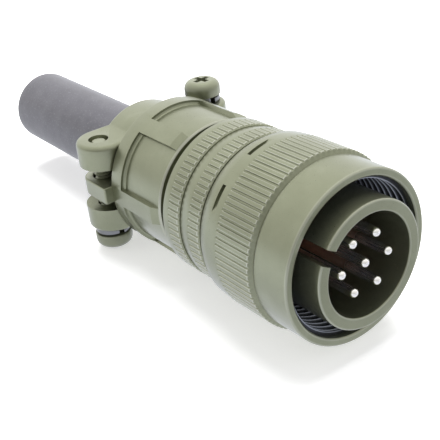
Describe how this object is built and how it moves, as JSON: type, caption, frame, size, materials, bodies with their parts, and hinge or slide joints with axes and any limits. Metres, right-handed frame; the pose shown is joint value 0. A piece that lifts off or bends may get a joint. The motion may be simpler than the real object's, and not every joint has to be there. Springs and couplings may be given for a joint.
{
  "type": "circular connector plug",
  "caption": "Straight circular cable plug with a knurled threaded coupling nut, pin contacts in a keyed barrel, and a ribbed cable clamp with screwed saddles on a rubber bushing.",
  "frame": {"origin": "on the connector's axis, level with the front face of the coupling nut", "axes": "+X along the axis towards the mating end; Z along the clamp screws, with the right-hand screw's head up; +Y towards that screw"},
  "size_m": [0.0996, 0.0314, 0.0294],
  "materials": {
    "olive_shell": "olive drab chromate over plated aluminium alloy, satin",
    "olive_screw": "olive drab chromate over plated steel, satin",
    "spring_steel": "plain plated spring steel",
    "black_insulator": "moulded black thermoset, matte",
    "plated_contact": "silver plate on turned copper alloy, bright",
    "black_rubber": "moulded black synthetic rubber, matte with fine bloom"
  },
  "bodies": {
    "plug": {"plug_shell": "olive_shell", "retaining_wire": "spring_steel", "front_insert": "black_insulator", "rear_insert": "black_insulator", "insert_ring": "spring_steel", "contact_pin_a": "plated_contact", "contact_pin_b": "plated_contact", "contact_pin_c": "plated_contact", "contact_pin_d": "plated_contact", "contact_pin_e": "plated_contact", "contact_pin_f": "plated_contact", "contact_pin_g": "plated_contact", "end_bell": "olive_shell", "clamp_body": "olive_shell", "cable_bushing": "black_rubber"},
    "coupling_nut": {"coupling_nut": "olive_shell"},
    "upper_clamp": {"upper_saddle": "olive_shell", "right_lock_washer": "spring_steel"},
    "lower_clamp": {"lower_saddle": "olive_shell", "left_lock_washer": "spring_steel"},
    "right_screw": {"right_screw": "olive_screw"},
    "left_screw": {"left_screw": "olive_screw"}
  },
  "joints": [
    {"name": "nut_turn", "type": "hinge", "parent": "plug", "child": "coupling_nut", "pos_m": [-0.0106, 0, 0], "axis": [1, 0, 0], "continuous": true},
    {"name": "upper_slide", "type": "slide", "parent": "plug", "child": "upper_clamp", "axis": [0, 0, 1], "range_m": [0, 0.00218]},
    {"name": "lower_slide", "type": "slide", "parent": "plug", "child": "lower_clamp", "axis": [0, 0, -1], "range_m": [0, 0.00218]},
    {"name": "right_screw_turn", "type": "hinge", "parent": "upper_clamp", "child": "right_screw", "pos_m": [-0.0523, 0.0117, 0], "axis": [0, 0, 1], "range_deg": [0, 1980]},
    {"name": "left_screw_turn", "type": "hinge", "parent": "lower_clamp", "child": "left_screw", "pos_m": [-0.0523, -0.0117, 0], "axis": [0, 0, -1], "range_deg": [0, 1980]}
  ],
  "couplings": [
    {"joint": "lower_slide", "follows": "upper_slide", "ratio": 1},
    {"joint": "right_screw_turn", "follows": "upper_slide", "rad_per_m": 15832},
    {"joint": "left_screw_turn", "follows": "upper_slide", "rad_per_m": 15832}
  ]
}
